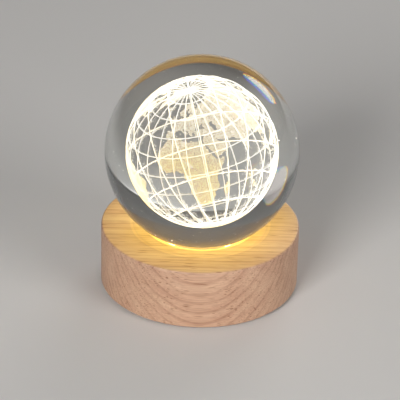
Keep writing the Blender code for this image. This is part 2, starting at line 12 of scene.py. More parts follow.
import bpy
import numpy as np
from bpy.props import FloatProperty, FloatVectorProperty, IntProperty, PointerProperty
from mathutils import Matrix, Vector


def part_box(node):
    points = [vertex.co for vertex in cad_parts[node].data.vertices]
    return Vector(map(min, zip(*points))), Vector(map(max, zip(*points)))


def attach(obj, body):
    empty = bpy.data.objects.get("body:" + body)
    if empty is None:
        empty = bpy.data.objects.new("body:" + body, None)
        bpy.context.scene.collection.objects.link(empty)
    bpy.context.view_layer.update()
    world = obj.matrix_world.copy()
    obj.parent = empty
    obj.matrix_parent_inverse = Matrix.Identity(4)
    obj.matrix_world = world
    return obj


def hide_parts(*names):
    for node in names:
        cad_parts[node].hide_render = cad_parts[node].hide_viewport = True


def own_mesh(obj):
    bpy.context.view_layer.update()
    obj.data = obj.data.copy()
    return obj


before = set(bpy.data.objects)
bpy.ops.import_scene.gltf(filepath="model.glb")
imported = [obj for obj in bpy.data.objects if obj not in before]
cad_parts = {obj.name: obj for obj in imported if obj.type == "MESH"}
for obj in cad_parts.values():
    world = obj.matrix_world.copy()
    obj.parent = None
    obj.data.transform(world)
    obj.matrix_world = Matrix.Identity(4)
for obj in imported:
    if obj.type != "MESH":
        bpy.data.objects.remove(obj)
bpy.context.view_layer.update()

bl_info = {
    "name": "Crystal Ball Lamp",
    "version": (1, 0, 0),
    "blender": (4, 5, 0),
    "location": "View3D > Sidebar > Lamp",
    "description": "Makes a lamp's glass ball, engraved globe and beech base, and its finish",
    "category": "Object",
}

mm = 0.001
# An edge that turns by more than this stays sharp
sharp_edge = radians(35)

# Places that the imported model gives

ball_low, ball_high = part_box("crystal_ball")
base_low, base_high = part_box("wooden_base")
board_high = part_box("led_board")[1]
cover_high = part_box("bottom_cover")[1]
led_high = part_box("led_1")[1]
ball_radius = (ball_high.z - ball_low.z) / 2
ball_middle = np.array([0.0, 0.0, (ball_high.z + ball_low.z) / 2])
base_radius = base_high.x
base_bottom = base_low.z
base_top = base_high.z
# The radius of the seat's cone where it opens in the top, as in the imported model
seat_mouth = 22.4 * mm


def linear(code):
    """A colour written as sRGB hex, such as #C49C7A, in linear light, with alpha."""
    parts = [int(code[i:i + 2], 16) / 255 for i in (1, 3, 5)]
    return (*[p / 12.92 if p <= 0.04045 else ((p + 0.055) / 1.055) ** 2.4 for p in parts], 1.0)


# What a user would change


class LampSizes(bpy.types.PropertyGroup):
    """Sizes of the engraved globe, and how it is turned."""

    globe_radius: FloatProperty(
        name="Globe radius", description="Radius of the engraved globe, inside the glass",
        default=20.55 * mm, unit="LENGTH",
    )
    line_width: FloatProperty(
        name="Line width", description="Width of the engraved meridians and parallels",
        default=0.17 * mm, unit="LENGTH",
    )
    meridians: IntProperty(
        name="Meridians", description="Meridians all round the globe, an even number",
        default=24, min=4, step=2,
    )
    parallel_step: FloatProperty(
        name="Parallel step", description="Angle between two parallels",
        default=radians(18), subtype="ANGLE",
    )
    dot_pitch: FloatProperty(
        name="Dot pitch", description="Distance between the dots that fill the land",
        default=0.33 * mm, unit="LENGTH",
    )
    dot_width: FloatProperty(
        name="Dot width", description="Width of a dot of the land",
        default=0.28 * mm, unit="LENGTH",
    )
    haze_dots: IntProperty(
        name="Haze dots", description="Fine cracks scattered just under the engraved lines",
        default=24000,
    )
    haze_depth: FloatProperty(
        name="Haze depth", description="Depth of the layer that the fine cracks fill",
        default=1.1 * mm, unit="LENGTH",
    )
    longitude: FloatProperty(
        name="Longitude in front", description="Longitude that faces the front",
        default=radians(24.2), subtype="ANGLE",
    )
    tilt_back: FloatProperty(
        name="Tilt back", description="Lean of the globe's axis to the back",
        default=radians(5.9), subtype="ANGLE",
    )
    tilt_left: FloatProperty(
        name="Tilt left", description="Lean of the globe's axis to the left, seen from the front",
        default=radians(13.0), subtype="ANGLE",
    )


def colour_property(name, description, code):
    """A colour that a user can change, whose default is the sRGB hex code."""
    return FloatVectorProperty(
        name=name, description=description, default=linear(code), size=4, subtype="COLOR",
        min=0, max=1,
    )


class LampColours(bpy.types.PropertyGroup):
    """Colours and light of the lamp."""

    beech: colour_property("Beech", "Middle tone of the oiled beech", "#BC9379")
    beech_dark: colour_property("Beech latewood", "Dark lines of the growth rings", "#986E56")
    beech_light: colour_property("Beech earlywood", "Pale bands between the rings", "#CBA68A")
    fleck: colour_property("Ray flecks", "Short brown rays of beech", "#7D5234")
    # The engraving's glow is painted light: these colours and powers are emission that stands in for
    # the LEDs' light that it scatters
    engraving: colour_property("Engraving light", "Light that the lines scatter", "#FFF1D2")
    land: colour_property("Land light", "Light that the dotted land scatters", "#FFDC79")
    led: colour_property("LED light", "Warm white light of the LEDs", "#FFC877")
    floor: colour_property("Floor", "Plain pale floor", "#DAD7D3")
    engraving_power: FloatProperty(
        name="Engraving power", description="Brightness of the engraved lines", default=1.25, min=0,
    )
    land_power: FloatProperty(
        name="Land power", description="Brightness of the dotted land", default=1.2, min=0,
    )
    # Strength of the painted light on the wood: the emission round the seat and the faint ring round
    # the ball
    painted_seat_glow_power: FloatProperty(
        name="Seat power", description="Brightness of the lit edge of the seat", default=1.4, min=0,
    )
    led_power: FloatProperty(
        name="LED power", description="Brightness of the LEDs", default=12.0, min=0,
    )


# Meshes: shapes are worked out as whole arrays


def add_piece(name, shape, material, smooth=True):
    """An object from a shape: an array of points, and an array of faces or a list of such arrays.

    The sum over all triangles of a . (b x c) is six times the volume that the faces enclose. Where
    it is below zero the faces look inwards, and every face is turned round.
    """
    points, faces = shape
    points = np.asarray(points, float).reshape(-1, 3)
    groups = faces if isinstance(faces, list) else [faces]
    volume = 0
    for group in groups:
        for second in range(1, group.shape[1] - 1):
            a, b, c = (points[group[:, i]] for i in (0, second, second + 1))
            volume += np.sum(a * np.cross(b, c))
    if volume < 0:
        groups = [group[:, ::-1] for group in groups]
    mesh = bpy.data.meshes.new(name)
    mesh.from_pydata(points, [], [face for group in groups for face in group.tolist()])
    mesh.polygons.foreach_set("use_smooth", np.full(len(mesh.polygons), smooth))
    mesh.materials.append(material)
    mesh.update()
    piece = bpy.data.objects.new(name, mesh)
    bpy.context.scene.collection.objects.link(piece)
    return piece


def grid_faces(rows, columns, close_rows=False, close_columns=False):
    """Four-sided faces of a grid of points, whose last row or column may join its first."""
    r = np.arange(rows if close_rows else rows - 1)[:, None]
    c = np.arange(columns if close_columns else columns - 1)[None, :]
    r2, c2 = (r + 1) % rows, (c + 1) % columns
    corners = [r * columns + c, r * columns + c2, r2 * columns + c2, r2 * columns + c]
    return np.stack(np.broadcast_arrays(*corners), axis=-1).reshape(-1, 4)


def turned(profile, segments, ring=False):
    """A profile of (radius, height) carried round the Z axis.

    The point with radius r and height z goes to (r cos a, r sin a, z) for each angle a. A ring's
    profile closes on itself. Any other starts and ends on the axis, and each end is one point.
    """
    profile = np.array(profile, float)
    rounds = profile if ring else profile[1:-1]
    angle = np.linspace(0, 2 * pi, segments, endpoint=False)
    x, y = rounds[:, :1] * np.cos(angle), rounds[:, :1] * np.sin(angle)
    z = np.broadcast_to(rounds[:, 1:], x.shape)
    points = np.stack([x, y, z], axis=-1).reshape(-1, 3)
    sides = grid_faces(len(rounds), segments, ring, True)
    if ring:
        return points, sides
    first = np.arange(segments)
    after = (first + 1) % segments
    last = len(points) - segments
    top = np.column_stack([np.full(segments, len(points)), first, after])
    bottom = np.column_stack([np.full(segments, len(points) + 1), last + after, last + first])
    ends = [[0, 0, profile[0, 1]], [0, 0, profile[-1, 1]]]
    return np.concatenate([points, ends]), [sides[:, ::-1], top, bottom]


def unit(rows):
    """Each row of an array, made one long."""
    return rows / np.linalg.norm(rows, axis=1)[:, None]


def line_rings(middles, normals, radii, width, steps=180, sides=6):
    """Thin round rods bent into circles, one for each middle, normal and radius.

    With u and v square to the normal, a point on a rod lies at
    middle + (radius + w cos b)(u cos a + v sin a) + w sin b normal, where w is half the width.
    """
    helper = np.where(np.abs(normals[:, :1]) < 0.9, [[1.0, 0, 0]], [[0, 1.0, 0]])
    u = unit(np.cross(normals, helper))
    v = np.cross(normals, u)
    a = np.linspace(0, 2 * pi, steps, endpoint=False)[None, :, None, None]
    b = np.linspace(0, 2 * pi, sides, endpoint=False)[None, None, :, None]
    u, v, n, m = (x[:, None, None, :] for x in (u, v, normals, middles))
    reach = radii[:, None, None, None] + width / 2 * np.cos(b)
    points = m + reach * (u * np.cos(a) + v * np.sin(a)) + width / 2 * np.sin(b) * n
    one = grid_faces(steps, sides, True, True)
    faces = one[None] + (np.arange(len(radii)) * steps * sides)[:, None, None]
    return points.reshape(-1, 3), faces.reshape(-1, 4)


def dots(middles, widths):
    """A small eight-sided crystal at each middle, whose six corners lie half its width away."""
    corners = np.array([[1, 0, 0], [-1, 0, 0], [0, 1, 0], [0, -1, 0], [0, 0, 1], [0, 0, -1]], float)
    sides = np.array([
        [0, 2, 4], [2, 1, 4], [1, 3, 4], [3, 0, 4], [2, 0, 5], [1, 2, 5], [3, 1, 5], [0, 3, 5],
    ])
    points = middles[:, None, :] + corners * widths[:, None, None] / 2
    faces = sides[None] + (np.arange(len(middles)) * len(corners))[:, None, None]
    return points.reshape(-1, 3), faces.reshape(-1, 3)


def coil(middle, radius, wire, low, high, turns, steps, sides):
    """A round wire wound along Y, from low to high.

    With t going round, the wire's middle lies at (radius cos t, low + rise t, radius sin t) from
    the given middle. With n the direction (cos t, 0, sin t) and k square to n and to the wire, a
    point of its surface lies w cos b n + w sin b k away, where w is half the wire's thickness.
    """
    half = wire / 2
    t = np.linspace(0, 2 * pi * turns, steps + 1)[:, None]
    rise = (high - low - wire) / (2 * pi * turns)
    level = np.zeros_like(t)
    spine = np.hstack([radius * np.cos(t), low + half + rise * t, radius * np.sin(t)])
    along = np.hstack([-radius * np.sin(t), level + rise, radius * np.cos(t)])
    n = np.hstack([np.cos(t), level, np.sin(t)])
    k = np.cross(n, unit(along))
    b = np.linspace(0, 2 * pi, sides, endpoint=False)[None, :, None]
    points = spine[:, None] + half * (np.cos(b) * n[:, None] + np.sin(b) * k[:, None])
    first = np.arange(sides)[None]
    faces = [grid_faces(steps + 1, sides, False, True), first[:, ::-1], first + steps * sides]
    return points.reshape(-1, 3) + [middle[0], 0, middle[1]], faces


def prism(outline, low, high):
    """An outline of (x, z) points carried along Y from low to high."""
    x, z = np.array(outline, float).T
    points = np.concatenate([np.column_stack([x, np.full(len(x), y), z]) for y in (low, high)])
    end = np.arange(len(x))[None]
    return points, [grid_faces(2, len(x), False, True), end[:, ::-1], end + len(x)]


def arc(middle, radius, start, end, steps):
    """Points on an arc, from the start angle to the end angle."""
    angle = np.linspace(start, end, steps + 1)
    return [(middle[0] + radius * cos(a), middle[1] + radius * sin(a)) for a in angle]


def cut(piece, shape):
    """Takes the given shape out of the piece, for good."""
    cutter = add_piece("cutter", shape, piece.data.materials[0], smooth=False)
    modifier = piece.modifiers.new("cut", "BOOLEAN")
    modifier.operation = "DIFFERENCE"
    modifier.solver = "EXACT"
    modifier.object = cutter
    result = piece.evaluated_get(bpy.context.evaluated_depsgraph_get())
    made = bpy.data.meshes.new_from_object(result)
    piece.modifiers.clear()
    piece.data = made
    bpy.data.objects.remove(cutter)


# Materials


def feed(node, inputs):
    """Gives each input of a node its value, or the socket that feeds it."""
    for key, value in inputs.items():
        if isinstance(value, bpy.types.NodeSocket):
            node.id_data.links.new(value, node.inputs[key])
        else:
            node.inputs[key].default_value = value


def add_node(tree, kind, inputs, output=0, **settings):
    """Adds a shader node with its settings, feeds its inputs and returns one of its outputs."""
    node = tree.nodes.new("ShaderNode" + kind)
    for name, value in settings.items():
        setattr(node, name, value)
    feed(node, inputs)
    return node.outputs[output]


def start_material(name):
    """A new material, with add_node for its tree, its surface and its object coordinates."""
    material = bpy.data.materials.new(name)
    material.use_nodes = True
    add = partial(add_node, material.node_tree)
    surface = material.node_tree.nodes["Principled BSDF"]
    return material, add, surface, add("TexCoord", {}, "Object")


def shade(add, factor, low, high, first, second):
    """A colour that goes from the first to the second as the factor goes from low to high."""
    share = add("MapRange", {"Value": factor, "From Min": low, "From Max": high})
    return add("Mix", {0: share, 6: first, 7: second}, 2, data_type="RGBA")


def beech(colours):
    """Turned and oiled beech. Layers of growth stand on edge along X, so the top shows straight
    streaks, the front nested curves, and the sides close upright lines. Beech has short brown
    rays and a satin surface. A mapping's scale is one over the size of a grain in metres."""
    material, add, surface, place = start_material("oiled beech")
    # The layers rise 61 degrees to the back, and wander by a few millimetres over a base's width
    leaning = add("Mapping", {"Vector": place, "Rotation": (radians(-61), 0, 0)})
    slow = add("Mapping", {"Vector": leaning, "Scale": (14, 40, 40)})
    drift = add("TexNoise", {"Vector": slow, "Scale": 1.0})
    across = add("SeparateXYZ", {"Vector": leaning}, "Z")
    wander = add("Math", {0: drift, 1: 7 * mm}, operation="MULTIPLY")
    layer = add("Math", {0: across, 1: wander}, operation="ADD")
    # A growth ring is about 2.4 mm wide here, and ends in a dark line
    turns = add("Math", {0: layer, 1: 1 / (2.4 * mm)}, operation="MULTIPLY")
    ring = add("Math", {0: turns}, operation="FRACT")
    line = add(
        "MapRange", {"Value": ring, "From Min": 0.55, "From Max": 0.98},
        interpolation_type="SMOOTHERSTEP",
    )
    # Fine fibres: about 0.4 mm across the layers and 25 mm along the grain
    thin = add("Mapping", {"Vector": leaning, "Scale": (40, 1400, 2400)})
    fibre = add("TexNoise", {"Vector": thin, "Scale": 1.0, "Detail": 3.0, "Roughness": 0.6})
    # Pale bands, about 3 mm across the layers and 55 mm along the grain
    wide = add("Mapping", {"Vector": leaning, "Scale": (18, 120, 380)})
    band = add("TexNoise", {"Vector": wide, "Scale": 1.0, "Detail": 4.0, "Roughness": 0.62})
    ground = shade(add, band, 0.3, 0.7, colours.beech_light, colours.beech)
    # The dark line of a ring comes and goes along the grain
    faint = add("MapRange", {
        "Value": band, "From Min": 0.35, "From Max": 0.65, "To Min": 0.12, "To Max": 0.6,
    })
    depth = add("Math", {0: line, 1: faint}, operation="MULTIPLY")
    ringed = add("Mix", {0: depth, 6: ground, 7: colours.beech_dark}, 2, data_type="RGBA")
    # The fibres darken and lighten the wood by these shares
    fibred = shade(add, fibre, 0.25, 0.8, (0.80, 0.78, 0.76, 1), (1.12, 1.12, 1.12, 1))
    wood = add("Mix", {0: 1.0, 6: ringed, 7: fibred}, 2, data_type="RGBA", blend_type="MULTIPLY")
    # Rays: dashes about 7 mm long and 0.3 mm thick
    dashes = add("Mapping", {"Vector": place, "Scale": (110, 1900, 2400)})
    ray = add("TexNoise", {"Vector": dashes, "Scale": 1.0, "Detail": 1.0, "Roughness": 0.4})
    dash = add("MapRange", {"Value": ray, "From Min": 0.62, "From Max": 0.74, "To Max": 0.9})
    rayed = add("Mix", {0: dash, 6: wood, 7: colours.fleck}, 2, data_type="RGBA")
    # Painted light: emission on the wood stands in for light from the ball that soaks into the edge
    # of the seat, and it glows over about a millimetre
    flat = add("VectorMath", {0: place, 1: (1, 1, 0)}, operation="MULTIPLY")
    radius = add("VectorMath", {0: flat}, "Value", operation="LENGTH")
    edge = {"From Min": seat_mouth + 1.6 * mm, "From Max": seat_mouth, "To Max": colours.painted_seat_glow_power}
    painted_seat_glow = add("MapRange", {"Value": radius, **edge}, interpolation_type="SMOOTHERSTEP")
    # Painted light: a faint emissive ring on the top stands in for the light that the ball gathers
    # round it
    apart = add("Math", {0: radius, 1: 28.7 * mm, 2: 0.55 * mm}, operation="COMPARE")
    painted_glow_strength = add("Math", {0: apart, 1: colours.painted_seat_glow_power * 0.06, 2: painted_seat_glow}, operation="MULTIPLY_ADD")
    # The painted light is kept to the top of the base, down to 2 mm below it
    height = add("SeparateXYZ", {"Vector": place}, "Z")
    above = add("Math", {0: height, 1: base_top - 2 * mm}, operation="GREATER_THAN")
    feed(surface, {
        "Base Color": rayed, "IOR": 1.47,
        "Roughness": add("MapRange", {"Value": fibre, "To Min": 0.42, "To Max": 0.6}),
        "Normal": add("Bump", {"Height": fibre, "Distance": 0.02 * mm}),
        "Emission Color": linear("#FFC94F"),
        "Emission Strength": add("Math", {0: painted_glow_strength, 1: above}, operation="MULTIPLY"),
    })
    material.cycles.emission_sampling = "NONE"
    return material


def crystal():
    """Polished optical crown glass: clear, with a refractive index of 1.52. Some specks of dust
    about 0.3 mm wide lie on it, and scatter where they lie."""
    material, add, surface, place = start_material("polished optical glass")
    cells = add("TexVoronoi", {"Vector": place, "Scale": 1 / (3.5 * mm)})
    speck = add("MapRange", {
        "Value": cells, "From Min": 0.04, "From Max": 0.055, "To Min": 0.5, "To Max": 0.0,
    })
    feed(surface, {
        "Base Color": linear("#F6F8F5"), "Roughness": speck, "IOR": 1.52,
        "Transmission Weight": 1.0,
    })
    return material


def painted_glow(name, colour, pale, power):
    """Fine cracks in the glass, matt white. Their glow is painted: emission stands in for the light
    of the LEDs that they scatter, painted paler and brighter away from the glow's middle, as if
    through fewer cracks."""
    material, add, surface, place = start_material(name)
    # Seen from the front, the middle of the painted glow lies a little left of the ball's middle and
    # below it
    painted_glow_middle = (-3 * mm, 0, ball_middle[2] - 5 * mm)
    flat = add("VectorMath", {0: place, 1: (1, 0, 1)}, operation="MULTIPLY")
    away = add("VectorMath", {0: flat, 1: painted_glow_middle}, "Value", operation="DISTANCE")
    strength = add("MapRange", {
        "Value": away, "From Max": 26 * mm, "To Min": power * 0.8, "To Max": power * 1.25,
    })
    feed(surface, {
        "Base Color": linear("#F4F1EA"), "Roughness": 0.7,
        "Emission Color": shade(add, away, 11 * mm, 20 * mm, colour, linear(pale)),
        "Emission Strength": strength,
    })
    material.cycles.emission_sampling = "NONE"
    return material


def moulded(name, code, roughness, grain, depth):
    """Injection moulded plastic or rubber: an even colour with a fine spark-eroded texture, whose
    grains are the given width, and a slow change in gloss where hands and dust reach it."""
    material, add, surface, place = start_material(name)
    fine = add("TexNoise", {"Vector": place, "Scale": 1 / grain, "Detail": 3.0})
    slow = add("TexNoise", {"Vector": place, "Scale": 1 / (9 * mm)})
    colour = linear(code)
    paler = (*[min(1.0, c * 1.25 + 0.004) for c in colour[:3]], 1.0)
    gloss = add("MapRange", {
        "Value": slow, "To Min": roughness - 0.08, "To Max": roughness + 0.1,
    })
    feed(surface, {
        "Base Color": shade(add, slow, 0.3, 0.75, colour, paler), "Roughness": gloss, "IOR": 1.5,
        "Normal": add("Bump", {"Height": fine, "Distance": depth}),
    })
    return material


def plated(name, code, roughness):
    """Plated or drawn metal: a clean grey with faint clouds in its gloss and fine marks."""
    material, add, surface, place = start_material(name)
    clouds = add("TexNoise", {
        "Vector": place, "Scale": 1 / (0.8 * mm), "Detail": 4.0, "Roughness": 0.65,
    })
    gloss = add("MapRange", {
        "Value": clouds, "To Min": roughness - 0.1, "To Max": roughness + 0.15,
    })
    clean = linear(code)
    dull = (*[c * 0.82 for c in clean[:3]], 1.0)
    marks = add("Bump", {"Height": clouds, "Distance": 0.004 * mm})
    feed(surface, {
        "Base Color": shade(add, clouds, 0.35, 0.7, clean, dull),
        "Metallic": 1.0, "Roughness": gloss, "Normal": marks,
    })
    return material


def solder_mask(name, code, track_code):
    """Solder mask over copper tracks: a glossy lacquer, a little paler over the tracks, whose
    edges stand 0.03 mm proud."""
    material, add, surface, place = start_material(name)
    tracks = add(
        "TexVoronoi", {"Vector": place, "Scale": 1 / (3 * mm), "Randomness": 0.35},
        distance="CHEBYCHEV",
    )
    edge = add("MapRange", {"Value": tracks, "From Min": 0.30, "From Max": 0.33})
    colour = add("Mix", {0: edge, 6: linear(track_code), 7: linear(code)}, 2, data_type="RGBA")
    proud = add("Bump", {"Height": edge, "Distance": 0.03 * mm})
    feed(surface, {"Base Color": colour, "Roughness": 0.3, "IOR": 1.5, "Normal": proud})
    return material


def lit_led(colours):
    """A lit warm white LED: a pale moulded body round a dish of yellow phosphor that glows."""
    material, add, surface, place = start_material("LED body and phosphor")
    # The dish is what faces up, 0.1 mm or more below the top of the body
    facing = add("NewGeometry", {}, "Normal")
    upward = add("SeparateXYZ", {"Vector": facing}, "Z")
    flat = add("Math", {0: upward, 1: 0.5}, operation="GREATER_THAN")
    height = add("SeparateXYZ", {"Vector": place}, "Z")
    low = add("Math", {0: height, 1: led_high.z - 0.1 * mm}, operation="LESS_THAN")
    dish = add("Math", {0: flat, 1: low}, operation="MULTIPLY")
    colour = add("Mix", {0: dish, 6: linear("#F1EAD8"), 7: linear("#E9C24C")}, 2, data_type="RGBA")
    strength = add("MapRange", {
        "Value": dish, "To Min": colours.led_power * 0.1, "To Max": colours.led_power,
    })
    feed(surface, {
        "Base Color": colour, "Roughness": 0.35,
        "Emission Color": colours.led, "Emission Strength": strength,
    })
    return material


# The globe that is engraved in the glass


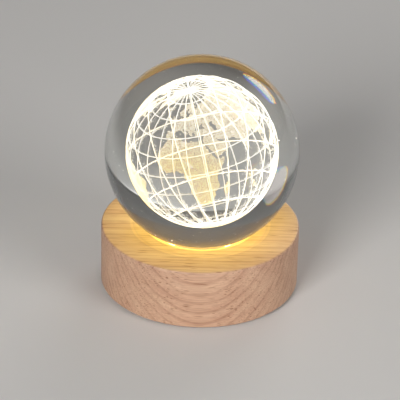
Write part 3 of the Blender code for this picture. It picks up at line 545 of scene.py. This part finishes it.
coasts = {
    "Africa": [
        (-6, 35.8), (-2, 35.2), (3, 36.8), (10, 37.2), (11, 34), (15, 32.3), (20, 31), (20, 32.8),
        (25, 31.6), (32, 31.2), (34, 28), (35.5, 24), (37.3, 21), (37.5, 18.5), (39.5, 15.5),
        (43, 12), (44, 10.5), (51, 12), (50, 8), (46, 3), (42, -1.5), (39.5, -4.5), (39.5, -9),
        (40.7, -15), (36.5, -18.5), (34.8, -20), (35.5, -24), (32.8, -26), (32, -29), (28, -33),
        (22, -34), (18.4, -34), (17.5, -31), (15, -27), (14.5, -22.5), (11.8, -17), (13.7, -11),
        (12.2, -6), (9, -1), (9.5, 3.5), (6, 4.3), (4, 6.3), (-2, 5), (-8, 4.4), (-13, 8.5),
        (-16.7, 13), (-17.3, 15), (-16.2, 19), (-17, 21), (-14.5, 26), (-10, 29.5), (-9.7, 31.5),
        (-6.8, 34),
    ],
    "Europe and Asia": [
        (-9, 37), (-9.5, 38.7), (-8.8, 43.3), (-1.7, 43.4), (-1.2, 46), (-4.5, 48.4), (-1.6, 48.7),
        (-1.5, 49.7), (1.6, 50.9), (4, 52), (5, 53.3), (8.5, 54), (8.1, 56.8), (10.6, 57.6),
        (11, 54.3), (14, 54), (18.5, 54.7), (21, 55), (22, 57.5), (24, 59.4), (29.5, 60),
        (25, 60.2), (21.8, 60.5), (21.3, 62), (25, 65), (22, 65.8), (17.5, 62.5), (17.2, 60.7),
        (18.5, 59.7), (16.5, 56.7), (14.3, 55.5), (12.7, 56), (11, 59), (7, 58), (5, 60), (5.2, 62),
        (10, 64), (14.5, 67.5), (19.5, 70), (25.5, 71), (31, 70), (41, 67.3), (40, 66.3),
        (34, 66.7), (35, 64.3), (38, 64.5), (41, 66), (44, 66.2), (44, 68.3), (54, 68.5), (60, 69),
        (67, 69), (68, 72.8), (72.5, 71), (80, 72.5), (87, 75), (98, 76.2), (104, 77.7),
        (113, 73.7), (128, 72.5), (140, 72.5), (152, 71), (160, 69.8), (170, 69.5), (180, 68.8),
        (190, 66), (180, 65), (177.5, 62.5), (170, 60), (163.5, 58), (162, 55), (156.8, 51),
        (155.8, 57), (162, 61), (156, 61.8), (148, 59.4), (142.5, 59.3), (135.5, 54.7), (141, 53),
        (140, 48), (135, 43.5), (130.5, 42.5), (127.5, 39.5), (129.3, 36.5), (126.5, 34.3),
        (126.5, 37.5), (124.5, 40), (121.3, 39), (121, 40.8), (117.8, 39), (119, 37.3),
        (122.5, 37.2), (119.3, 34.8), (121.8, 31.5), (121.5, 28.5), (118, 24.5), (113.5, 22.2),
        (110, 21.2), (108, 21.6), (105.8, 19), (109.2, 13), (106.8, 10.4), (105, 8.7),
        (104.5, 10.5), (100.8, 12.7), (100, 13.4), (99.3, 10), (103.4, 4), (103.8, 1.4),
        (100.5, 4.8), (98.3, 8.3), (98.7, 12), (97.6, 16.3), (94.3, 16), (92.3, 21), (90, 22),
        (87, 21.3), (82.3, 16.7), (80.2, 13), (79.8, 10.3), (77.6, 8.1), (74.8, 12.9), (72.8, 19),
        (72.6, 21.3), (70.5, 20.8), (69, 22.3), (67, 24.7), (61.5, 25.1), (57, 27), (54.5, 26.6),
        (51.5, 27.9), (49, 30.3), (48, 30), (50, 26.8), (51.3, 26), (51.6, 24.3), (54.3, 24.2),
        (56.3, 26.2), (56.6, 24.4), (59.8, 22.5), (57.8, 19), (55, 17), (52, 15.6), (45, 12.8),
        (43.3, 12.8), (42.7, 16.4), (39, 21.3), (37, 25), (34.7, 28), (34.3, 31.3), (35.8, 35),
        (36, 36.8), (32.5, 36.1), (30.5, 36.8), (27.3, 37), (26.3, 39.3), (29, 41), (33.5, 42),
        (41.5, 41.5), (37.5, 44.7), (39, 47), (35, 46.2), (36.5, 45.3), (33.5, 44.5), (32, 46.3),
        (30, 45.3), (28, 43.3), (28.8, 41.2), (26, 40.7), (23.3, 40.3), (24, 38), (22.8, 36.5),
        (21.2, 37.8), (19.4, 41.3), (14, 45), (12.4, 45.2), (12.5, 44), (16, 41.8), (18.4, 40.2),
        (17, 38.9), (15.8, 38), (15.5, 40), (12.3, 41.7), (10, 43.9), (7.5, 43.8), (3.2, 43.1),
        (3, 41.8), (-0.3, 39.4), (-2, 36.8), (-5.6, 36),
    ],
    "Great Britain": [
        (-5.3, 50), (0.5, 50.8), (1.7, 52.6), (-1.2, 54.8), (-2, 57.5), (-5, 58.6), (-5.8, 56.3),
        (-3, 54), (-4.8, 52),
    ],
    "Ireland": [(-10, 51.8), (-6.2, 52.2), (-6, 54.8), (-8.3, 55.1), (-9.8, 53.8)],
    "Iceland": [(-22.5, 63.9), (-18.5, 63.4), (-14, 64.8), (-16, 66.4), (-22, 66.3), (-23.8, 65)],
    "Spitsbergen": [(11, 79), (16, 76.8), (24, 79.5), (16, 80.3)],
    "Novaya Zemlya": [(52, 71), (57, 70.6), (60, 75), (69, 76.7), (58, 75.6)],
    "Sicily": [(12.6, 38), (15.4, 38.1), (15, 36.8)],
    "Sardinia and Corsica": [(8.4, 39), (9.6, 39.3), (9.6, 42.8), (8.5, 41.8)],
    "Madagascar": [(49.3, -12.2), (50.3, -16), (47, -25), (44, -25), (43.5, -21), (44.5, -16.3)],
    "Sri Lanka": [(80, 9.6), (81.7, 7.2), (80.3, 6), (79.8, 8)],
    "Sumatra": [(95.5, 5.5), (98.7, 3.5), (104, -2), (106, -5.8), (102, -4), (98.5, 1.5)],
    "Java": [(105.3, -6.6), (108.5, -6.7), (114.4, -7.8), (114.3, -8.6), (106.5, -7.4)],
    "Borneo": [
        (109, 1.5), (111.5, 2.6), (115, 5.2), (117, 7), (119, 5), (117.6, 1), (116, -3.8),
        (110.3, -2.9),
    ],
    "Sulawesi": [
        (119.2, -3.4), (120, 0.7), (125, 1.5), (120.8, 0.2), (121.2, -1), (123.2, -1), (121.6, -2),
        (122.6, -5), (120.8, -3), (120.4, -5.5), (119.5, -5.5),
    ],
    "Luzon": [(120.3, 16), (120.8, 18.4), (122.2, 18.4), (121.6, 15.8), (124, 12.7), (120.7, 13.8)],
    "Mindanao": [(122, 7), (125.4, 9.7), (126.4, 7.3), (125.4, 5.7)],
    "New Guinea": [
        (131, -0.8), (134.2, -0.9), (135, -3.3), (141, -2.6), (147.8, -6.2), (150.8, -10.5),
        (146.5, -8.8), (143, -9.2), (138, -8.3), (138, -5.5), (132.8, -4), (132, -2.8),
    ],
    "Australia": [
        (114, -22), (113.6, -26), (115.7, -32), (115.2, -34.3), (118, -35), (124, -33.5),
        (131, -31.5), (135.5, -34.8), (138, -33), (138.3, -35.5), (141, -38.2), (146.3, -39),
        (150, -37.3), (153, -31), (153.3, -26), (149, -20.5), (145.5, -15), (142.5, -10.8),
        (140.8, -17.5), (136, -15.5), (136.8, -12.2), (132.5, -11.3), (129.6, -14.9), (126.5, -14),
        (122.2, -18),
    ],
    "Tasmania": [(144.7, -40.8), (148.3, -40.9), (147.5, -43.5), (146, -43.4)],
    "New Zealand, north": [
        (172.8, -34.5), (175.5, -36.8), (178.4, -37.7), (175.3, -41.5), (174.8, -39),
    ],
    "New Zealand, south": [
        (172.8, -40.6), (174.2, -41.8), (170.6, -45.8), (168.3, -46.6), (166.6, -45.9),
        (170.5, -43),
    ],
    "Honshu": [
        (130, 31.3), (131.8, 33), (135.8, 33.6), (140.2, 35.3), (141.9, 39.5), (141.3, 41.3),
        (140, 40.3), (136.9, 37), (131, 34.3), (129.8, 33),
    ],
    "Hokkaido": [(140.2, 41.6), (143.2, 42), (145.5, 43.3), (141.9, 45.4), (141.2, 43.2)],
    "Taiwan": [(120.2, 23), (121.6, 25.2), (120.9, 22)],
    "Sakhalin": [(142, 46), (143.8, 49), (143.2, 54.2), (142.1, 54), (142, 50)],
    "North America": [
        (-168, 65.6), (-162, 66.3), (-166.5, 68.3), (-156.5, 71.3), (-141, 69.6), (-128, 70.2),
        (-115, 68.5), (-108, 68), (-95, 68), (-93.5, 71.8), (-88, 68.5), (-81.5, 69), (-82, 66.5),
        (-87, 64.5), (-94, 61.5), (-94.5, 58.8), (-88, 56.8), (-82.3, 55), (-82, 52.8),
        (-79.5, 51.3), (-79, 54.5), (-77, 57), (-78, 62.4), (-70, 61), (-65, 59.5), (-61.5, 57),
        (-56, 53), (-60, 50.2), (-66, 50.2), (-64.5, 48.7), (-65, 47), (-61, 45.5), (-66, 43.7),
        (-67, 44.8), (-70.5, 43), (-70, 41.7), (-74, 40.5), (-75.5, 37), (-76, 35), (-81, 31.5),
        (-80.2, 26), (-81.5, 25.8), (-82.8, 29), (-84.5, 30), (-89.5, 30.2), (-94, 29.5),
        (-97.3, 27.5), (-97.8, 22.5), (-95.5, 18.7), (-91.5, 18.5), (-90.4, 21), (-87, 21.5),
        (-88.2, 17), (-87.8, 15.8), (-83.3, 15), (-83.6, 11), (-81, 8.8), (-79.5, 9.5),
        (-77.4, 8.7), (-78, 7.3), (-80.3, 7.4), (-83, 8.2), (-85.8, 10.5), (-87.5, 13), (-92, 14.5),
        (-95, 16), (-101.5, 17.7), (-105.5, 20.2), (-106.3, 23.5), (-109.3, 26), (-112.5, 30),
        (-114.7, 31.6), (-111.5, 26), (-109.5, 23), (-112, 24.7), (-115, 29), (-117, 32.5),
        (-120.6, 34.6), (-124, 39.5), (-124, 46), (-123, 49), (-128, 51.5), (-130.5, 54.7),
        (-134, 58), (-140, 59.8), (-147, 61), (-151.5, 59.3), (-154, 58.5), (-158, 56.5),
        (-164.5, 54.7), (-158, 58.6), (-162, 58.8), (-165.5, 61.5), (-161, 64.5),
    ],
    "Baffin Island": [
        (-90, 73), (-80, 73.7), (-70, 70.5), (-61.5, 66.7), (-66, 62), (-78, 64.5), (-73, 67.5),
        (-85, 70),
    ],
    "Victoria Island": [(-117, 71), (-105, 73), (-102, 69), (-114, 69.3)],
    "Banks Island": [(-125, 72), (-122, 76), (-105, 76.8), (-99, 74.5), (-112, 73.6), (-120, 71.5)],
    "Ellesmere Island": [(-92, 77), (-80, 76.3), (-62, 82.5), (-75, 83), (-92, 81)],
    "Greenland": [
        (-73, 78.3), (-68, 76), (-58, 75.5), (-54, 71), (-53.5, 66), (-48, 61), (-43.5, 60),
        (-40, 65), (-25, 69.5), (-22, 72), (-19, 76), (-12, 81.5), (-30, 83.6), (-60, 82),
    ],
    "Newfoundland": [(-59.2, 47.7), (-53, 46.8), (-55.8, 51.5)],
    "Cuba": [(-84.8, 22), (-80, 23.1), (-74.2, 20.2), (-77.6, 19.9), (-82, 22.2)],
    "Hispaniola": [(-74.4, 18.4), (-73, 19.9), (-68.4, 18.6), (-71.5, 17.8)],
    "South America": [
        (-77.4, 8.5), (-75.5, 10.7), (-71.7, 12.3), (-71.5, 10.8), (-68, 11.3), (-62, 10.6),
        (-57, 6), (-51.5, 4.3), (-50, 0), (-44.3, -2.7), (-37.5, -4.5), (-35, -7.5), (-38.5, -13),
        (-39.5, -18), (-42, -22.8), (-48.5, -26), (-49, -29), (-53.5, -33.8), (-57.5, -35),
        (-56.8, -36.5), (-62, -39), (-65, -41), (-63.7, -42.6), (-67.5, -46), (-65.8, -48),
        (-69, -51), (-68.3, -53), (-65.3, -55), (-70, -55.2), (-74.5, -52.5), (-75.5, -47),
        (-73, -43), (-73.5, -37.2), (-71.5, -31), (-70.2, -20), (-76, -14.3), (-81.2, -6),
        (-80.3, -3), (-80.8, 0), (-77.3, 3.8), (-77.8, 7),
    ],
    "Antarctica": [
        (-180, -78), (-150, -77), (-125, -73.5), (-100, -72.5), (-75, -73), (-62, -66),
        (-57, -63.3), (-61, -70), (-65, -76), (-40, -78), (-20, -73), (0, -70), (30, -69),
        (55, -66.5), (75, -69.5), (95, -66.3), (130, -66.2), (160, -70), (170, -77.5), (180, -78),
        (180, -90), (-180, -90),
    ],
}
caspian_sea = [
    (47.2, 45.5), (49, 46.3), (53, 46.5), (51, 44.5), (53.5, 40.8), (53.8, 37), (50.2, 37.4),
    (49.3, 40.5), (47.6, 42.8),
]


def inside(outline, longitude, latitude):
    """True for each point in an outline: the line from it to the east crosses the outline an odd
    number of times. Outlines may run past 180 degrees, so a full turn is added and taken off."""
    x, y = np.array(outline, float).T
    x2, y2 = np.roll(x, -1), np.roll(y, -1)
    rise = np.where(y2 == y, 1, y2 - y)
    level = latitude[:, None]
    crossed = (y > level) != (y2 > level)
    reach = x + (level - y) / rise * (x2 - x)
    found = np.zeros(len(longitude), bool)
    for turn in (-360, 0, 360):
        found |= np.sum(crossed & (longitude[:, None] + turn < reach), axis=1) % 2 == 1
    return found


def globe_axes(sizes):
    """The directions of the middle longitude, of east and of north, from the lean of the axis."""
    side, back = -sizes.tilt_left, sizes.tilt_back
    north = np.array([sin(side), sin(back) * cos(side), cos(back) * cos(side)])
    facing = np.array([0.0, -1.0, 0.0])
    facing = facing - north * (facing @ north)
    facing /= np.linalg.norm(facing)
    return facing, np.cross(north, facing), north


def even_points(count, seed):
    """Directions spread evenly over a ball, a little out of line.

    Point i of n lies at height 1 - (2 i + 1) / n and is turned i golden angles, and each is then
    moved by a small random step.
    """
    chance = np.random.default_rng(seed)
    i = np.arange(count)
    height = 1 - (2 * i + 1) / count
    turn = i * pi * (3 - sqrt(5))
    flat = np.sqrt(1 - height ** 2)
    points = np.column_stack([flat * np.cos(turn), flat * np.sin(turn), height])
    points += chance.normal(0, 0.35 / sqrt(count), points.shape)
    return unit(points)


class LAMP_OT_ball(bpy.types.Operator):
    """Makes the polished glass ball"""

    bl_idname = "lamp.ball"
    bl_label = "Glass ball"

    def execute(self, context):
        # 128 steps from the top of the ball down to its bottom
        down = np.linspace(0, pi, 128 + 1)
        profile = ball_radius * np.column_stack([np.sin(down), np.cos(down)])
        points, faces = turned(profile, segments=256)
        ball = add_piece("glass_ball", (points + ball_middle, faces), crystal())
        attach(ball, "ball")
        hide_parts("crystal_ball")
        return {"FINISHED"}


class LAMP_OT_globe(bpy.types.Operator):
    """Makes the engraved globe: its lines, its dotted land and the haze of fine cracks"""

    bl_idname = "lamp.globe"
    bl_label = "Engraved globe"

    def execute(self, context):
        sizes, colours = context.scene.lamp_sizes, context.scene.lamp_colours
        facing, east, north = globe_axes(sizes)
        radius = sizes.globe_radius
        # The engraving glows by painted light: emission in these materials stands in for the LEDs'
        # light
        line_light = painted_glow(
            "engraved lines in glass", colours.engraving, "#FFFBF0", colours.engraving_power
        )
        land_light = painted_glow(
            "dotted engraving in glass", colours.land, "#FFEFCF", colours.land_power
        )
        haze_light = painted_glow(
            "stray cracks in glass", linear("#FFF7E8"), "#FFFBF0", colours.engraving_power * 1.8
        )

        half = sizes.meridians // 2
        turn = np.arange(half) * pi / half - sizes.longitude
        normals = -np.sin(turn)[:, None] * facing + np.cos(turn)[:, None] * east
        middles = np.broadcast_to(ball_middle, normals.shape)
        rings = line_rings(middles, normals, np.full(half, radius), sizes.line_width)
        meridians = add_piece("globe_meridians", rings, line_light)

        # No parallel is drawn within a degree of a pole
        count = int(pi / 2 / sizes.parallel_step)
        latitude = np.arange(-count, count + 1) * sizes.parallel_step
        latitude = latitude[np.abs(latitude) < radians(89)]
        norths = np.broadcast_to(north, (len(latitude), 3))
        middles = ball_middle + radius * np.sin(latitude)[:, None] * north
        rings = line_rings(middles, norths, radius * np.cos(latitude), sizes.line_width)
        parallels = add_piece("globe_parallels", rings, line_light)

        spread = even_points(int(4 * pi * radius ** 2 / sizes.dot_pitch ** 2), seed=7)
        longitude = np.degrees(np.arctan2(spread @ east, spread @ facing) + sizes.longitude)
        longitude = (longitude + 180) % 360 - 180
        height = np.degrees(np.arcsin(np.clip(spread @ north, -1, 1)))
        land = np.zeros(len(spread), bool)
        for outline in coasts.values():
            land |= inside(outline, longitude, height)
        land &= ~inside(caspian_sea, longitude, height)
        chance = np.random.default_rng(seed=11)
        spots = ball_middle + radius * spread[land]
        widths = sizes.dot_width * chance.uniform(0.75, 1.2, len(spots))
        continents = add_piece("globe_land", dots(spots, widths), land_light, smooth=False)

        # Stray cracks hang under the lines, a little to either side, most of them close below. The
        # longer lines have more of them
        circles = np.concatenate([np.zeros(half), np.sin(latitude)])
        poles = np.concatenate([normals, norths])
        rounds = np.sqrt(1 - circles ** 2)
        chosen = chance.choice(len(rounds), sizes.haze_dots, p=rounds / rounds.sum())
        pole, spin = poles[chosen], chance.uniform(0, 2 * pi, (sizes.haze_dots, 1))
        # Each spin starts square to its pole and to a direction that no pole lies along
        first = unit(np.cross(pole, facing + 0.3 * east + 0.1 * north))
        direction = circles[chosen][:, None] * pole + rounds[chosen][:, None] * (
            np.cos(spin) * first + np.sin(spin) * np.cross(pole, first)
        )
        stray = 0.06 * mm
        direction = unit(direction + chance.normal(0, stray / radius, direction.shape))
        reach = radius - sizes.haze_depth * chance.uniform(0, 1, sizes.haze_dots) ** 1.7
        widths = chance.uniform(0.07 * mm, 0.14 * mm, sizes.haze_dots)
        # A few bubbles and specks lie between the globe and the outside of the ball, with the painted
        # glow of the stray cracks
        count, nearest, farthest = 240, 29 * mm, 39 * mm
        specks = unit(chance.normal(size=(count, 3)))
        specks *= chance.uniform(nearest, farthest, (count, 1))
        spots = ball_middle + np.concatenate([direction * reach[:, None], specks])
        widths = np.concatenate([widths, chance.uniform(0.12 * mm, 0.26 * mm, count)])
        haze = add_piece("globe_haze", dots(spots, widths), haze_light, smooth=False)
        for piece in (meridians, parallels, continents, haze):
            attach(piece, "ball")
            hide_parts("engraved_globe")
        return {"FINISHED"}


class LAMP_OT_base(bpy.types.Operator):
    """Makes the turned beech base with its seat, well, pocket and slot"""

    bl_idname = "lamp.base"
    bl_label = "Beech base"

    def execute(self, context):
        # The seat's cone narrows to the well and touches the ball halfway. Below are the ledge over
        # the LED board, the pocket round the board and the recess that takes the cover's lip. The
        # last two take a share of the wall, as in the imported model
        rim, chamfer, well = 0.8 * mm, 0.6 * mm, 20.4 * mm
        wall = base_radius - well
        touch = asin((seat_mouth + well) / 2 / ball_radius)
        cone = (seat_mouth - well) * tan(touch)
        ledge = board_high.z + 0.3 * mm
        pocket = board_high.x + 0.10 * wall
        recess = pocket + 0.31 * wall
        ceiling = base_bottom + 2.6 * mm
        profile = [
            (seat_mouth, base_top),
            *arc((base_radius - rim, base_top - rim), rim, pi / 2, 0, steps=8),
            (base_radius, base_bottom + chamfer), (base_radius - chamfer, base_bottom),
            (recess, base_bottom), (recess, ceiling), (pocket, ceiling), (pocket, ledge),
            (well, ledge), (well, base_top - cone),
        ]
        wood = beech(context.scene.lamp_colours)
        base = add_piece("turned_base", turned(profile, segments=256, ring=True), wood)

        # The slot for the cover's back panel runs from the pocket out of the back. The solid that
        # is cut out reaches 1 mm past the wood on every open side
        side, top, corner, past = 12.0 * mm, cover_high.z + 0.3 * mm, 2.8 * mm, 1 * mm
        outline = [
            (-side, base_bottom - past), (side, base_bottom - past),
            *arc((side - corner, top - corner), corner, 0, pi / 2, steps=8),
            *arc((corner - side, top - corner), corner, pi / 2, pi, steps=8),
        ]
        start = sqrt(pocket ** 2 - side ** 2) - past
        cut(base, prism(outline, start, base_radius + past))
        base.data.set_sharp_from_angle(angle=sharp_edge)
        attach(base, "base")
        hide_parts("wooden_base")
        return {"FINISHED"}


class LAMP_OT_switch(bpy.types.Operator):
    """Winds the coil in the switch at its length at rest, and makes the button"""

    bl_idname = "lamp.switch"
    bl_label = "Switch spring and button"

    def execute(self, context):
        low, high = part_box("switch_spring")
        cap_low, cap_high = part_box("button_cap")
        middle = ((cap_low.x + cap_high.x) / 2, (cap_low.z + cap_high.z) / 2)
        wire, travel = 0.4 * mm, 1.5 * mm
        radius = high.x - middle[0] - wire / 2
        shape = coil(middle, radius, wire, low.y, high.y, turns=4, steps=96, sides=10)
        spring = add_piece("switch_coil", shape, plated("drawn spring steel", "#B9B9B7", 0.3))
        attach(spring, "base")
        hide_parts("switch_spring")
        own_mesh(spring)

        # The button is 5 mm wide. Its flange keeps it in the panel, its socket takes the plunger
        face, back = cap_high.y, cap_low.y
        stem, edge, flange, socket = 2.5 * mm, 0.4 * mm, 3.15 * mm, 1.7 * mm
        shoulder, floor = back + 1 * mm, face - 1.2 * mm
        profile = [
            (0, face), *arc((stem - edge, face - edge), edge, pi / 2, 0, steps=6),
            (stem, shoulder), (flange, shoulder), (flange, back),
            (socket, back), (socket, floor), (0, floor),
        ]
        points, faces = turned(profile, segments=64)
        points = points[:, [0, 2, 1]] + [middle[0], 0, middle[1]]
        black = moulded("satin black ABS", "#303033", 0.4, 0.5 * mm, 0.006 * mm)
        button = add_piece("push_button", (points, faces), black)
        button.data.set_sharp_from_angle(angle=sharp_edge)
        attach(button, "button")
        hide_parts("button_cap")
        return {"FINISHED"}


class LAMP_OT_fittings(bpy.types.Operator):
    """Finishes the cover, feet, screws, boards, LEDs, wires, inlet and the rest of the switch"""

    bl_idname = "lamp.fittings"
    bl_label = "Fittings"

    def execute(self, context):
        # The finish of each piece, or of a numbered row of pieces, whose name ends in _. The width
        # and the depth of the plastics' grain are in millimetres
        zinc = plated("zinc plated steel", "#C9CBC8", 0.35)
        finishes = {
            "cover_screw_": zinc, "led_board_screw_": zinc, "power_board_screw_": zinc,
            "inlet_shell": plated("nickel plated steel", "#CFCDC8", 0.25),
            "led_board": solder_mask("white solder mask", "#E9E8E2", "#F4F3EE"),
            "power_board": solder_mask("green solder mask", "#1E6B3C", "#2A8049"),
            "led_": lit_led(context.scene.lamp_colours),
        }
        for piece, name, code, roughness, grain, depth in (
            ("bottom_cover", "spark-textured black ABS", "#2A2A2C", 0.55, 0.35, 0.02),
            ("foot_", "moulded black rubber", "#232323", 0.8, 0.25, 0.02),
            ("switch_housing", "moulded black PBT", "#242425", 0.5, 0.4, 0.01),
            ("inlet_tongue", "moulded black nylon", "#1F1F20", 0.5, 0.3, 0.01),
            ("switch_plunger", "white acetal", "#E4E2DC", 0.35, 0.5, 0.005),
            ("led_resistor_", "thick film resistor", "#26262A", 0.45, 0.2, 0.01),
            ("wire_red", "red PVC insulation", "#B3302A", 0.5, 0.4, 0.006),
            ("wire_black", "black PVC insulation", "#29292A", 0.5, 0.4, 0.006),
        ):
            finishes[piece] = moulded(name, code, roughness, grain * mm, depth * mm)
        for name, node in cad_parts.items():
            finish = finishes.get(name) or finishes.get(name.rstrip("0123456789"))
            if finish:
                node.data.materials.clear()
                node.data.materials.append(finish)
        return {"FINISHED"}


def add_light(name, kind, place, **settings):
    """Adds a light with its settings at a place, which is a matrix, and returns its object."""
    lamp = bpy.data.lights.new(name, kind)
    for key, value in settings.items():
        setattr(lamp, key, value)
    light = bpy.data.objects.new(name, lamp)
    light.matrix_world = place
    bpy.context.scene.collection.objects.link(light)
    return light


class LAMP_OT_stage(bpy.types.Operator):
    """Makes the floor, the lights and the camera"""

    bl_idname = "lamp.stage"
    bl_label = "Stage"

    def execute(self, context):
        scene = context.scene
        material, add, surface, place = start_material("matt painted floor")
        grain = add("TexNoise", {"Vector": place, "Scale": 1 / (2 * mm)})
        feed(surface, {
            "Base Color": scene.lamp_colours.floor, "Roughness": 0.85,
            "Normal": add("Bump", {"Height": grain, "Distance": 0.02 * mm}),
        })
        # The floor, 8 m wide, runs back level for 2 m past the lamp, bends up in a quarter circle
        # of 1 m and rises to 4 m
        across = np.linspace(-4, 4, 3)
        bend = [(2 + sin(a), 1 - cos(a)) for a in np.linspace(0, pi / 2, 17)]
        run = np.array([(-4, 0), *bend, (3, 4)], float)
        x, y = np.broadcast_arrays(across[None, :], run[:, :1])
        z = np.broadcast_to(run[:, 1:], x.shape)
        shape = np.stack([x, y, z], axis=-1), grid_faces(len(run), len(across))
        floor = add_piece("floor", shape, material)

        world = bpy.data.worlds.new("studio")
        world.use_nodes = True
        sky = world.node_tree.nodes["Background"]
        feed(sky, {"Color": linear("#DADDE2"), "Strength": 0.12})
        scene.world = world

        # The softboxes are aimed at the lamp's middle, and light everything except the glass ball,
        # which would show each as a square
        unlit = bpy.data.collections.new("out of the softboxes' light")
        unlit.objects.link(bpy.data.objects["glass_ball"])
        unlit.collection_objects[0].light_linking.link_state = "EXCLUDE"
        for name, spot, width, watts in (
            ("key softbox", (-0.58, -1.20, 0.60), 0.6, 16),
            ("fill softbox", (1.00, -0.80, 0.52), 0.7, 8),
            ("back softbox", (0.50, 1.30, 0.40), 0.8, 8),
        ):
            aim = Vector((0, 0, 50 * mm)) - Vector(spot)
            turn = aim.to_track_quat("-Z", "Y").to_matrix().to_4x4()
            box = add_light(
                name, "AREA", Matrix.Translation(spot) @ turn,
                shape="SQUARE", size=width, energy=watts,
            )
            box.light_linking.receiver_collection = unlit
            box.visible_camera = False

        # The light that the ball spreads over the wood: from the globe, out of its lower side, and
        # from its seat. Only the wood takes it and blocks it, as glass lets it pass straight out
        lit = bpy.data.collections.new("lit by the ball")
        lit.objects.link(bpy.data.objects["turned_base"])
        middle, gold = Matrix.Translation(Vector(ball_middle)), linear("#FAF763")[:3]
        spread = 2 * atan2(29 * mm, ball_middle[2] - base_top)
        for shine in (
            add_light(
                "light of the globe", "POINT", middle, color=gold, energy=0.12,
                shadow_soft_size=15 * mm,
            ),
            add_light(
                "light round the ball", "SPOT", middle, color=gold, energy=0.04,
                shadow_soft_size=0.6 * mm, spot_size=spread, spot_blend=0.1,
            ),
        ):
            shine.visible_glossy = shine.visible_transmission = False
            shine.light_linking.receiver_collection = lit
            shine.light_linking.blocker_collection = lit

        # The camera stands 1 m away, 29.4 degrees above the table, and is turned by 1.45 degrees.
        # Its focal length and its axis's offset are in pixels of the photograph, which is 400 wide
        rise, roll, away = radians(29.4), radians(1.45), 1.0
        focal, left, above, picture, sensor = 2405.6, 0.859, 14.18, 400, 36
        forward = Vector((0, cos(rise), -sin(rise)))
        right = Vector((1, 0, 0))
        up = right.cross(forward)
        target = Vector((0, 0, 31 * mm))
        axis = (forward * focal - right * left + up * above).normalized()
        side = right * cos(roll) + up * sin(roll)
        side = (side - axis * side.dot(axis)).normalized()
        camera = bpy.data.cameras.new("camera")
        camera.sensor_width = sensor
        camera.lens = focal * sensor / picture
        camera.clip_start = 0.01
        view = bpy.data.objects.new("camera", camera)
        turn = Matrix((side, side.cross(axis), -axis)).transposed().to_4x4()
        view.matrix_world = Matrix.Translation(target - forward * away) @ turn
        scene.collection.objects.link(view)
        scene.camera = view

        # Two small windows near the camera's axis show once more in the far side of the glass.
        # Glass bends blue light more than red, so each is three tinted lights a little apart
        apart, distance = radians(21.9), 1.2
        for name, toward, wide, high, radiance in (
            ("upper window", (-0.939, 0.344), 0.24, 0.115, 3.4),
            ("lower window", (-0.624, -0.781), 0.22, 0.080, 5.6),
        ):
            way = right * toward[0] + up * toward[1]
            for tint, bend in (((1, 0, 0), -0.35), ((0, 0.88, 0), 0.0), ((0, 0, 0.86), 0.7)):
                angle = apart + radians(bend)
                back = way * sin(angle) - forward * cos(angle)
                outward = way * cos(angle) + forward * sin(angle)
                turn = Matrix((outward.cross(back), outward, back)).transposed().to_4x4()
                add_light(
                    name, "AREA", Matrix.Translation(Vector(ball_middle) + back * distance) @ turn,
                    shape="ELLIPSE", size=wide, size_y=high, color=tint,
                    energy=radiance * pi * (pi / 4 * wide * high),
                )
        scene.view_settings.view_transform = "Standard"
        return {"FINISHED"}


class LAMP_PT_panel(bpy.types.Panel):
    """Lists the lamp's settings and the steps that make it"""

    bl_idname = "LAMP_PT_panel"
    bl_label = "Crystal ball lamp"
    bl_space_type = "VIEW_3D"
    bl_region_type = "UI"
    bl_category = "Lamp"

    def draw(self, context):
        for group in (context.scene.lamp_sizes, context.scene.lamp_colours):
            for name in group.__annotations__:
                self.layout.prop(group, name)
        for step in steps:
            self.layout.operator(step.bl_idname)


steps = (
    LAMP_OT_ball, LAMP_OT_globe, LAMP_OT_base, LAMP_OT_switch, LAMP_OT_fittings, LAMP_OT_stage,
)
classes = (LampSizes, LampColours, *steps, LAMP_PT_panel)


def register():
    for item in classes:
        bpy.utils.register_class(item)
    bpy.types.Scene.lamp_sizes = PointerProperty(type=LampSizes)
    bpy.types.Scene.lamp_colours = PointerProperty(type=LampColours)


def unregister():
    del bpy.types.Scene.lamp_colours
    del bpy.types.Scene.lamp_sizes
    for item in reversed(classes):
        bpy.utils.unregister_class(item)


def main():
    register()
    bpy.ops.lamp.ball()
    bpy.ops.lamp.globe()
    bpy.ops.lamp.base()
    bpy.ops.lamp.switch()
    bpy.ops.lamp.fittings()
    bpy.ops.lamp.stage()


if __name__ == "__main__":
    main()
